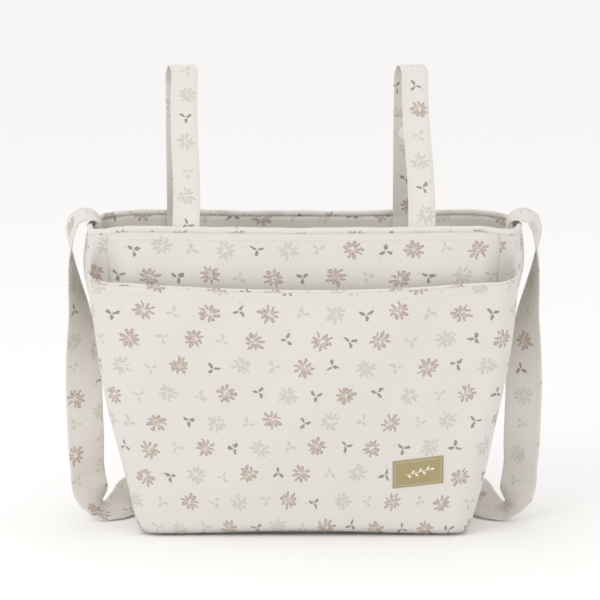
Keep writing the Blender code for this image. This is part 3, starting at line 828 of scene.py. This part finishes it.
class BAG_OT_rim(Operator):
    """Roll the hem round the mouth and stitch it below."""

    bl_idname = "diaper_bag.rim"
    bl_label = "Rim hem"

    def execute(self, context):
        s = sizes()
        thick = s.panel_thickness + s.layer_gap + s.lining_thickness
        middle = (BINDING_LOW[2] + BINDING_HIGH[2]) / 2
        t = np.linspace(0, 4, 420, endpoint=False)
        line = outline(t, np.full_like(t, WALL_TOP - 1e-6), thick / 2)
        line = settle_heights(line)
        line[:, 2] += middle - WALL_TOP - 0.0012
        line[:, 2] += 0.0003 * np.sin(t * 23.0) + 0.0002 * np.sin(t * 61.0)
        shape = tube_shape(line, HEM_RADIUS, 14, flatten=1.06, wrap_line=True)
        below = np.full_like(t, WALL_TOP - HEM_STITCH_DROP)
        outside = settle_heights(outline(t, below, -0.0001))
        out = outside - outline(t, below, 0.002)
        out[:, 2] = 0.0
        closed = np.vstack([outside, outside[:1]])
        seam = stitch_shape(closed, np.vstack([out, out[:1]]), s.stitch_pitch)
        obj = make_piece("rim_hem", [shape, seam],
                         ("printed_cotton", "sewing_thread"), merge=True)
        place_piece(obj, "bag", ("rim_binding",))
        return {"FINISHED"}


class BAG_OT_front_pocket(Operator):
    """Sew the wide front pocket, its folded mouth and the stitches below it."""

    bl_idname = "diaper_bag.front_pocket"
    bl_label = "Front pocket"

    def execute(self, context):
        s = sizes()
        columns, rows = 190, 90
        t = np.linspace(-0.25, 1.25, columns)[None, :]
        up = (np.linspace(0, 1, rows) ** 0.9)[:, None]
        z = WALL_BASE + (pocket_mouth(t) - WALL_BASE) * up
        points = pocket_face(t, z)
        run = arc_length(points[rows // 2])
        uv = np.stack(np.broadcast_arrays((run - run[-1] / 2)[None, :], z), -1)
        points = settle_heights(points)
        obj = make_piece("front_pocket_cloth", [grid_shape(points, uv)],
                         ("printed_cotton_pocket",), closed=False,
                         thickness=s.pocket_thickness)
        place_piece(obj, "bag", ("front_pocket",))
        self.mouth(s)
        return {"FINISHED"}

    def mouth(self, s):
        """Folded edge along the mouth, and one row of stitches below it."""
        t = np.linspace(-0.25, 1.25, 260)
        top = pocket_mouth(t)
        line = settle_heights(pocket_face(t, top, -s.pocket_thickness / 2))
        fold = tube_shape(line, 0.0014, 12, flatten=1.15)
        face = pocket_face(t, top - FOLD_STITCH_DROP)
        out = pocket_face(t, top - FOLD_STITCH_DROP, 0.002) - face
        seam = stitch_shape(settle_heights(face), out, s.stitch_pitch)
        obj = make_piece("pocket_mouth_fold", [fold, seam],
                         ("printed_cotton_pocket", "sewing_thread"))
        place_piece(obj, "bag", ("pocket_binding",))
        return obj


class BAG_OT_inner_pocket(Operator):
    """Sew the slip pocket to the back lining."""

    bl_idname = "diaper_bag.inner_pocket"
    bl_label = "Inner pocket"

    def execute(self, context):
        s = sizes()
        lower, upper = low("inner_pocket"), high("inner_pocket")
        inset = s.panel_thickness + 2 * s.layer_gap + s.lining_thickness
        across = np.linspace(0, 1, 80)[None, :]
        z = np.linspace(lower[2], upper[2], 40)[:, None]
        x = lower[0] + (upper[0] - lower[0]) * across

        def face(x, z, lift):
            t = 3.0 - (x / (half_width(z) - CORNER) + 1) / 2
            points = outline(t, z, inset + lift, dent=0.0)
            rise = np.clip((z - lower[2]) / (upper[2] - lower[2]), 0, 1)
            middle = np.clip(1 - (x / upper[0]) ** 2, 0, 1) ** 0.6
            points[..., 1] -= 0.011 * rise * middle
            return points

        points = face(x, z, s.lining_thickness)
        uv = np.stack(np.broadcast_arrays(x, z), -1)
        obj = make_piece("inner_pocket_cloth", [grid_shape(points, uv)],
                         ("printed_cotton_lining",), closed=False,
                         thickness=s.lining_thickness)
        place_piece(obj, "bag", ("inner_pocket",))
        row = np.linspace(lower[0], upper[0], 90)
        top = np.full_like(row, upper[2])
        line = face(row, top, s.lining_thickness * 0.5) + np.array([0.0, 0.0, 0.0014])
        fold = tube_shape(line, 0.0015, 10)
        stitched = face(row, top - 0.007, s.lining_thickness)
        out = np.tile([0.0, -1.0, 0.0], (len(row), 1))
        hem = make_piece("inner_pocket_fold", [fold, stitch_shape(stitched, out, s.stitch_pitch)],
                         ("printed_cotton_lining", "sewing_thread"))
        place_piece(hem, "bag", ("inner_pocket_binding",))
        return {"FINISHED"}


class BAG_OT_label(Operator):
    """Sew on the woven patch with a plain sprig, and the grey ribbon tag."""

    bl_idname = "diaper_bag.label"
    bl_label = "Patch and tag"

    def execute(self, context):
        self.patch()
        self.tag()
        return {"FINISHED"}

    def patch(self):
        """Patch: a thin slab that follows the pocket's face, its edge rounded by the fourth
        root of the distance to it, with a stitched border and a raised sprig."""
        lower, upper = low("front_label"), high("front_label")
        width = upper[0] - lower[0]
        slope = 0.135
        tall = (upper[2] - lower[2]) - slope * width
        middle_x, middle_z = (lower[0] + upper[0]) / 2, (lower[2] + upper[2]) / 2

        def place(a, b, lift):
            """Point of the patch: a and b run from -1 to 1 over its width and height."""
            x = middle_x + width / 2 * a
            z = middle_z + tall / 2 * b + slope * (x - middle_x)
            points = pocket_face(pocket_share(x, z), z, lift)
            return settle_heights(points)

        a = np.linspace(-1, 1, 60)[None, :]
        b = np.linspace(-1, 1, 36)[:, None]
        rim = np.clip((1 - a ** 2) * 14, 0, 1) * np.clip((1 - b ** 2) * 8, 0, 1)
        dip = bump(np.abs(a), 0.915, 0.020) + bump(np.abs(b), 0.85, 0.035)
        lift = 0.0003 + 0.0011 * rim ** 0.35 - 0.0003 * np.clip(dip, 0, 1) * rim
        points = place(a, b, lift)
        uv = np.stack(np.broadcast_arrays(a * width / 2, b * tall / 2), -1)
        back = place(a, b, 0.0001)[:, ::-1]
        shapes = [grid_shape(points, uv), grid_shape(back, uv)]
        edge = np.linspace(-1, 1, 40)
        loop_a = np.concatenate([edge * 0.915, np.full(30, 0.915), -edge * 0.915,
                                 np.full(30, -0.915)])
        edge = np.linspace(-1, 1, 30)
        loop_b = np.concatenate([np.full(40, -0.85), edge * 0.85, np.full(40, 0.85),
                                 -edge * 0.85])
        line = place(loop_a, loop_b, 0.0012)
        out = place(loop_a, loop_b, 0.0032) - line
        shapes.append(stitch_shape(line, out, 0.0024, radius=0.00026))
        shapes += self.sprig(place)
        obj = make_piece("woven_patch_piece", shapes,
                         ("woven_patch", "patch_motif"), merge=True)
        place_piece(obj, "bag", ("front_label",))

    def sprig(self, place):
        """Generic sprig: a bowed stem and seven leaves, each a low dome over a pointed oval."""
        shapes = []
        run = np.linspace(-0.50, 0.50, 40)
        stem = place(run, 0.10 * np.sin(run * 3.0), 0.0015)
        shapes.append(tube_shape(stem, 0.00035, 6, slot=1))
        for step in range(7):
            start = -0.42 + step * 0.145
            turn = 0.75 if step % 2 else -0.75
            if step == 6:
                turn = 0.15
            ring = np.linspace(0, 2 * np.pi, 20, endpoint=False)[None, :]
            share = np.linspace(1.0, 0.0, 5)[:, None]
            along = 0.5 + 0.5 * np.cos(ring) * share
            beside = 0.24 * np.sin(ring) * share * np.sin(np.pi * np.clip(along, 0.02, 0.98))
            length = 0.0058
            dx = length * (along * np.cos(turn) - beside * np.sin(turn))
            dz = length * (along * np.sin(turn) + beside * np.cos(turn))
            a = start + dx / 0.0243
            b = 0.10 * np.sin(start * 3.0) + dz / 0.0135
            lift = 0.0011 + 0.0006 * np.sqrt(np.clip(1 - share ** 2, 0, 1)) * np.ones_like(a)
            points = place(a, b, lift)
            uv = np.zeros((5, 21, 2))
            shapes.append(grid_shape(points, uv, wrap=True, slot=1))
        return shapes

    def tag(self):
        """Folded ribbon in the side seam: two thin layers with a round fold at the free edge."""
        lower, upper = low("side_tag"), high("side_tag")
        z = np.linspace(lower[2], upper[2], 24)[:, None]
        turn = np.linspace(0, 2 * np.pi, 28, endpoint=False)[None, :]
        depth = upper[1] - lower[1]
        y = lower[1] + depth / 2 + depth / 2 * np.sign(np.cos(turn)) * np.abs(np.cos(turn)) ** 0.5
        lift = 0.0013 + 0.0005 * np.sign(np.sin(turn)) * np.abs(np.sin(turn)) ** 0.5
        lift = lift + 0.0012 * ease(y, lower[1], upper[1])
        t = 1.25 + 0.5 * (y / (HALF_DEPTH - CORNER) + 1) / 2
        wall = settle_heights(outline(t, z, 0.0))
        points = wall.copy()
        points[..., 0] += lift
        points[..., 1] = y + 0 * z
        uv = np.stack(np.broadcast_arrays(turn * 0.003, z), -1)
        uv = np.concatenate([uv, uv[:, :1]], axis=1)
        obj = make_piece("ribbon_tag", [grid_shape(points, uv, wrap=True, caps=True)],
                         ("grey_ribbon",))
        place_piece(obj, "bag", ("side_tag",))


class BAG_OT_shoulder_strap(Operator):
    """Lay the shoulder strap: over the rim at each side, down, and round behind the bag."""

    bl_idname = "diaper_bag.shoulder_strap"
    bl_label = "Shoulder strap"

    def route(self):
        """Left half: rows of centre x, y, z and the twist and edge turn of its width, in
        degrees.  First the sewn end and the arch over the rim, then the free strap."""
        anchor = low("left_strap_anchor")
        outer = -anchor[0] - STRAP_HALF
        inner = outer - 2 * ARCH_HALF
        arch_z = (BINDING_LOW[2] + BINDING_HIGH[2]) / 2
        hang = outer + 2 * STRAP_HALF + 0.0006
        middle = (inner + outer) / 2
        foot = anchor[2]
        base = arch_z - 0.0052
        arch = [(-inner + 0.0004, 0.0, foot, 0, 0), (-inner, 0.0, WALL_TOP - 0.012, 0, 0)]
        free = []
        for step in range(12):
            angle = np.pi * (1 - step / 12)
            tip = ease(step / 12, 0.1, 0.5) * (1 - ease(step / 12, 0.5, 1.0))
            station = (-(middle + ARCH_HALF * np.cos(angle)), 0.0,
                       base + ARCH_RISE * np.sin(angle), -22.0 * ease(step / 12, 0.2, 0.9),
                       15.0 * tip)
            if step <= 6:
                arch.append(station)
            if step >= 6:
                free.append(station)
        back = HALF_DEPTH
        top = WALL_TOP
        free += [
            (-hang - 0.0004, 0.0, top - 0.010, -17, 0),
            (-hang + 0.0002, 0.0, top - 0.036, 2, 0),
            (-hang + 0.0035, 0.0, top - 0.062, 17, 0),
            (-hang + 0.0080, 0.0, top - 0.092, 34, 0),
            (-hang + 0.0105, 0.0, top - 0.130, 60, 0),
            (-hang + 0.0115, 0.0, top - 0.172, 82, 0),
            (-hang + 0.0125, 0.001, top - 0.208, 84, 0),
            (-hang + 0.0137, 0.001, top - 0.241, 64, 0),
            (-hang + 0.0169, 0.004, 0.0290, 70, 16),
            (-hang + 0.0274, 0.007, 0.0095, -4, 25),
            (-hang + 0.0414, 0.017, 0.0072, -49, 16),
            (-hang + 0.0505, 0.042, 0.0101, -74, 28),
            (-hang + 0.0564, 0.074, 0.0136, -68, 42),
            (-BASE_HALF + 0.0080, back + 0.0230, 0.0172, -33, 62),
            (-BASE_HALF + 0.0400, back + 0.0335, 0.0186, -15, 75),
            (-BASE_HALF + 0.0780, back + 0.0355, 0.0190, -5, 84),
            (-BASE_HALF * 0.30, back + 0.0365, 0.0192, 0, 88),
            (0.0, back + 0.0370, 0.0192, 0, 90),
        ]
        return arch, free

    def lines(self, stations, samples, side):
        """Centre line and width direction from the stations, mirrored for the right side."""
        rows = smooth_line(stations, samples)
        twist, edge = np.radians(rows[:, 3]), np.radians(rows[:, 4])
        across = np.stack([np.sin(twist) * np.cos(edge), np.cos(twist) * np.cos(edge),
                           np.sin(edge)], -1)
        centre = rows[:, :3].copy()
        centre[:, 0] *= -side
        across[:, 0] *= -side
        across = squared(centre, across)[1]
        resting = np.abs(across[:, 2]) * sizes().shoulder_width / 2 + 0.0014
        centre[:, 2] = np.maximum(centre[:, 2], resting)
        return centre, across

    def execute(self, context):
        arch, free = self.route()
        width = sizes().shoulder_width
        for label, side in SIDES.items():
            centre, across = self.lines(arch, 60, side)
            foot = make_strap(label + "_strap_foot", centre, across, width,
                              (label + "_strap_anchor",))
            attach(foot, "bag")
            start = float(arc_length(centre)[-1])
            centre, across = self.lines(free, 420, side)
            obj = make_strap(label + "_shoulder_strap", centre, across, width,
                             ("shoulder_strap",), start)
            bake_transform(obj)
        return {"FINISHED"}


class BAG_OT_pram_loops(Operator):
    """Sew the two pram loops: long strap with its tail, and the short back strap."""

    bl_idname = "diaper_bag.pram_loops"
    bl_label = "Pram loops"

    def execute(self, context):
        for label in SIDES:
            self.long_strap(label)
            self.back_strap(label)
        return {"FINISHED"}

    def long_strap(self, label):
        """Up the inside of the front wall, back along a slightly bowed leg, round the bend over
        the handle and down the tail's straight line."""
        s = sizes()
        strap_low, strap_high = low(label + "_loop_strap"), high(label + "_loop_strap")
        tail_low = low(label + "_loop_tail")
        top = joint_place(label + "_tail_open")
        radius = BEND_RADIUS
        lean = lean_of(label)
        y = strap_low[1] + STRAP_HALF
        foot_x = strap_high[0] - s.loop_width / 2
        back_x = tail_low[0] + s.loop_width / 2
        centre = np.array([0.0, top[1], top[2] - radius])
        reach = np.array([centre[1] - y, centre[2] - WALL_TOP])
        slope = np.arctan2(reach[1], reach[0]) + np.arcsin(radius / np.hypot(*reach))
        first = np.pi / 2 + slope
        angle = np.linspace(first, lean, 40)
        share = np.linspace(0, 1, 40)
        bend = np.stack([foot_x - BEND_SLIP + (back_x - foot_x + BEND_SLIP) * share,
                         centre[1] + radius * np.cos(angle), centre[2] + radius * np.sin(angle)],
                        -1)
        foot = np.stack([np.full(12, foot_x), np.full(12, y),
                         np.linspace(strap_low[2], WALL_TOP, 12)], -1)
        run = np.linspace(0, 1, 60)[1:-1]
        leg = foot[-1] + (bend[0] - foot[-1]) * run[:, None]
        leg[:, 1] -= 0.0035 * np.sin(np.pi * run) ** 2
        leg[:, 0] += 0.0010 * np.sin(2 * np.pi * run)
        down = np.array([0.0, np.sin(lean), -np.cos(lean)])
        length = (bend[-1, 2] - tail_low[2]) / np.cos(lean)
        tail = bend[-1] + down * np.linspace(0, length, 40)[1:, None]
        line = np.vstack([foot, leg, bend, tail])
        line = even_line(line, 200)
        twist = 0.05 * ease(line[:, 2], WALL_TOP, top[2])
        across = np.stack([np.cos(twist), np.sin(twist), np.zeros_like(twist)], -1)
        obj = make_strap(label + "_loop_ribbon", line, across, s.loop_width,
                         (label + "_loop_strap", label + "_loop_tail"),
                         start=0.4 if label == "left" else 0.93)
        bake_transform(obj)

    def back_strap(self, label):
        """Straight strap: the sewn end upright, then leaning forward from the fold line."""
        end_low = low(label + "_back_strap_end")
        strap_low, strap_high = low(label + "_back_strap"), high(label + "_back_strap")
        fold = joint_place(label + "_back_strap_fold")
        x = (strap_low[0] + strap_high[0]) / 2
        lean = lean_of(label)
        up = np.array([0.0, -np.sin(lean), np.cos(lean)])
        foot = np.array([x, fold[1], end_low[2]])
        knee = np.array([x, fold[1], fold[2]])
        length = (strap_high[2] - fold[2]) / np.cos(lean)
        line = np.vstack([foot + (knee - foot) * np.linspace(0, 1, 14)[:-1, None],
                          knee + up * np.linspace(0, length, 50)[:, None]])
        line = even_line(line, 90)
        across = np.tile([1.0, 0.0, 0.0], (len(line), 1))
        obj = make_strap(label + "_back_ribbon", line, across, sizes().loop_width,
                         (label + "_back_strap", label + "_back_strap_end"),
                         start=1.31 if label == "left" else 1.62)
        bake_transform(obj)


def lean_of(label):
    """Forward lean of the back strap, from its fold line to its top, in radians."""
    fold = joint_place(label + "_back_strap_fold")
    strap_low, strap_high = low(label + "_back_strap"), high(label + "_back_strap")
    return float(np.arctan2(fold[1] - strap_low[1] - STRAP_HALF, strap_high[2] - fold[2]))


def even_line(line, samples):
    """The same line with its points evenly spaced along its length."""
    run = arc_length(line)
    places = np.linspace(0, run[-1], samples)
    return np.stack([np.interp(places, run, line[:, k]) for k in range(3)], -1)


class BAG_OT_snaps(Operator):
    """Press on the snaps: cap and socket on the back strap, stud and back cap on the tail."""

    bl_idname = "diaper_bag.snaps"
    bl_label = "Snaps"

    def execute(self, context):
        plans = (("snap_cap", "fold", -1, "snap_cap_white", "snap_cap"),
                 ("snap_socket", "fold", 1, "snap_steel", "snap_metal"),
                 ("snap_stud", "tail", -1, "snap_steel", "snap_metal"),
                 ("snap_back_cap", "tail", 1, "snap_cap_white", "snap_cap"))
        for label in SIDES:
            lean = lean_of(label)
            for part, body, facing, finish, slot in plans:
                node = f"{label}_{part}"
                centre = (low(node) + high(node)) / 2
                wide = (high(node)[0] - low(node)[0]) / 2
                out = np.array([0.0, np.cos(lean), np.sin(lean)]) * facing
                shape = self.turned(self.profile(part, wide), centre, out)
                obj = make_piece(node + "_piece", [shape], (finish,), merge=True)
                place_piece(obj, f"{label}_{body}", (node,))
        return {"FINISHED"}

    def profile(self, part, wide):
        """Half section as rows of radius and height above the piece's middle."""
        if part in ("snap_cap", "snap_back_cap"):
            turn = np.linspace(0, np.pi / 2, 14)
            dome = np.stack([wide * np.sin(turn), -0.0005 + 0.0013 * np.cos(turn) ** 0.8], -1)
            lip = [(wide, -0.0007), (wide * 0.97, -0.0009), (0.0, -0.0009)]
            dish = dome[:, 0] < wide * 0.55
            dome[dish, 1] -= 0.00025 * np.cos(dome[dish, 0] / (wide * 0.55) * np.pi / 2) ** 2
            return np.vstack([dome, lip])
        if part == "snap_socket":
            bore = 0.0024
            return np.array([(bore, -0.0010), (bore, 0.0007), (bore + 0.0004, 0.0010),
                             (wide - 0.0016, 0.0010), (wide - 0.0008, 0.0006),
                             (wide, -0.0004), (wide, -0.0010), (bore, -0.0010)])
        knob = 0.0018
        return np.array([(0.0, 0.0011), (knob * 0.7, 0.0011), (knob, 0.0007),
                         (knob, 0.0003), (knob * 0.85, -0.0003), (wide * 0.6, -0.0004),
                         (wide * 0.9, -0.0006), (wide, -0.0009), (wide, -0.0011),
                         (0.0, -0.0011)])

    def turned(self, profile, centre, out):
        """The section spun round the axis out through the centre."""
        turn = np.linspace(0, 2 * np.pi, 48, endpoint=False)
        first = np.array([1.0, 0.0, 0.0])
        second = np.cross(out, first)
        ring = np.cos(turn)[:, None] * first + np.sin(turn)[:, None] * second
        points = (centre + profile[:, 0][:, None, None] * ring[None]
                  + profile[:, 1][:, None, None] * out)
        uv = np.zeros((len(profile), 49, 2))
        return grid_shape(points, uv, wrap=True)


class BAG_OT_stage(Operator):
    """Set up the pale floor, the soft studio light and the camera."""

    bl_idname = "diaper_bag.stage"
    bl_label = "Stage"

    def execute(self, context):
        self.floor()
        bag = (0.0, 0.0, 0.20)
        self.light("key_light", (-1.7, -2.4, 2.2), bag, 1.6, 21.0)
        self.light("fill_light", (1.9, -2.3, 1.2), bag, 2.0, 2.0)
        self.light("top_light", (-0.3, 0.1, 2.5), bag, 1.8, 3.0)
        world = bpy.data.worlds.new("studio")
        world.use_nodes = True
        background = world.node_tree.nodes["Background"]
        background.inputs[0].default_value = (1.0, 0.99, 0.98, 1.0)
        background.inputs[1].default_value = 0.97
        context.scene.world = world
        context.scene.view_settings.view_transform = "Standard"
        self.camera(context)
        return {"FINISHED"}

    def floor(self):
        """Wide flat floor, pale right up to the horizon."""
        x = np.array([-60.0, 60.0])
        points = np.stack(np.broadcast_arrays(x[None, :], x[:, None], np.array([[-0.0004]])), -1)
        obj = make_piece("studio_floor", [grid_shape(points, points[..., :2].copy())],
                         ("pale_floor",), closed=False)

    def light(self, name, place, target, size, power):
        data = bpy.data.lights.new(name, "AREA")
        data.shape = "DISK"
        data.size = size
        data.energy = power
        obj = bpy.data.objects.new(name, data)
        obj.location = place
        away = Vector(place) - Vector(target)
        obj.rotation_euler = away.to_track_quat("Z", "Y").to_euler()
        bpy.context.scene.collection.objects.link(obj)

    def camera(self, context):
        """Long lens, a little above the mouth, tilted down."""
        data = bpy.data.cameras.new("camera")
        data.sensor_width = 36.0
        data.lens = 183.4
        data.clip_start = 0.1
        data.clip_end = 50.0
        obj = bpy.data.objects.new("camera", data)
        obj.location = (-0.0038, -2.974, 0.650)
        obj.rotation_euler = (np.radians(90.0 - 8.22), 0.0, 0.0)
        context.scene.collection.objects.link(obj)
        context.scene.camera = obj


PIECES = (BAG_OT_shell, BAG_OT_lining, BAG_OT_rim, BAG_OT_front_pocket, BAG_OT_inner_pocket,
          BAG_OT_label, BAG_OT_shoulder_strap, BAG_OT_pram_loops, BAG_OT_snaps, BAG_OT_stage)


class BAG_PT_panel(Panel):
    """Lists the sizes, the colours and the buttons that make each piece."""

    bl_label = "Diaper Bag"
    bl_idname = "BAG_PT_panel"
    bl_space_type = "VIEW_3D"
    bl_region_type = "UI"
    bl_category = "Diaper Bag"

    def draw(self, context):
        for group in (context.scene.diaper_bag_sizes, context.scene.diaper_bag_colours):
            box = self.layout.box()
            for name in group.__annotations__:
                box.prop(group, name)
        for piece in PIECES:
            self.layout.operator(piece.bl_idname)


CLASSES = (BagSizes, BagColours, *PIECES, BAG_PT_panel)


def register():
    for cls in CLASSES:
        bpy.utils.register_class(cls)
    bpy.types.Scene.diaper_bag_sizes = PointerProperty(type=BagSizes)
    bpy.types.Scene.diaper_bag_colours = PointerProperty(type=BagColours)


def unregister():
    del bpy.types.Scene.diaper_bag_colours
    del bpy.types.Scene.diaper_bag_sizes
    for cls in reversed(CLASSES):
        bpy.utils.unregister_class(cls)


def main():
    """Make every piece in order."""
    register()
    for piece in PIECES:
        getattr(bpy.ops.diaper_bag, piece.bl_idname.split(".")[1])()


if __name__ == "__main__":
    main()
